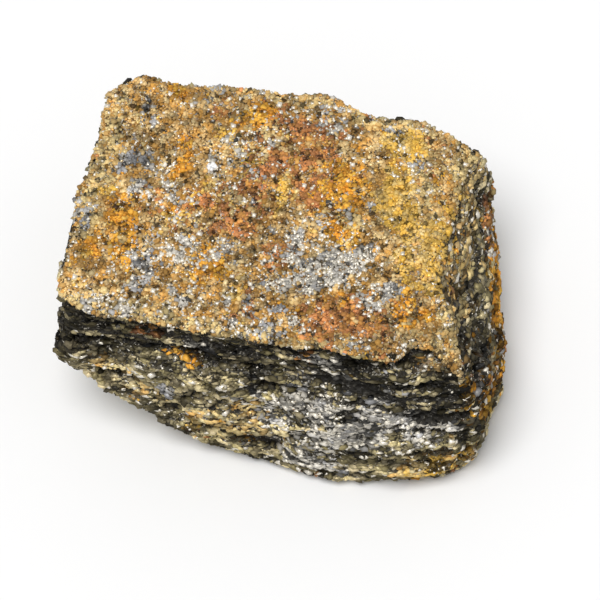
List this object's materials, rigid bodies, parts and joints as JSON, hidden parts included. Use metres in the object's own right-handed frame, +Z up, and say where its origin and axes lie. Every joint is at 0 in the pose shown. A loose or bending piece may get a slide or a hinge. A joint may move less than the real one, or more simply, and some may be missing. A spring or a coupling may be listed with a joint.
{
  "type": "rough bronzite stone",
  "caption": "Rough block of foliated bronzite with a flat glittering top, layered dark sides and a flat spot to rest on.",
  "frame": {"origin": "on the floor, under the middle of the block's box", "axes": "+X along the long side, to the rolled shoulder; -Y towards the layered front; +Z up, square to the layers"},
  "size_m": [0.06, 0.047, 0.0255],
  "materials": {
    "bronzite": "rough broken rock with a granular bronze and silver glitter"
  },
  "bodies": {
    "root": {"bronzite_block": "bronzite"}
  },
  "joints": []
}
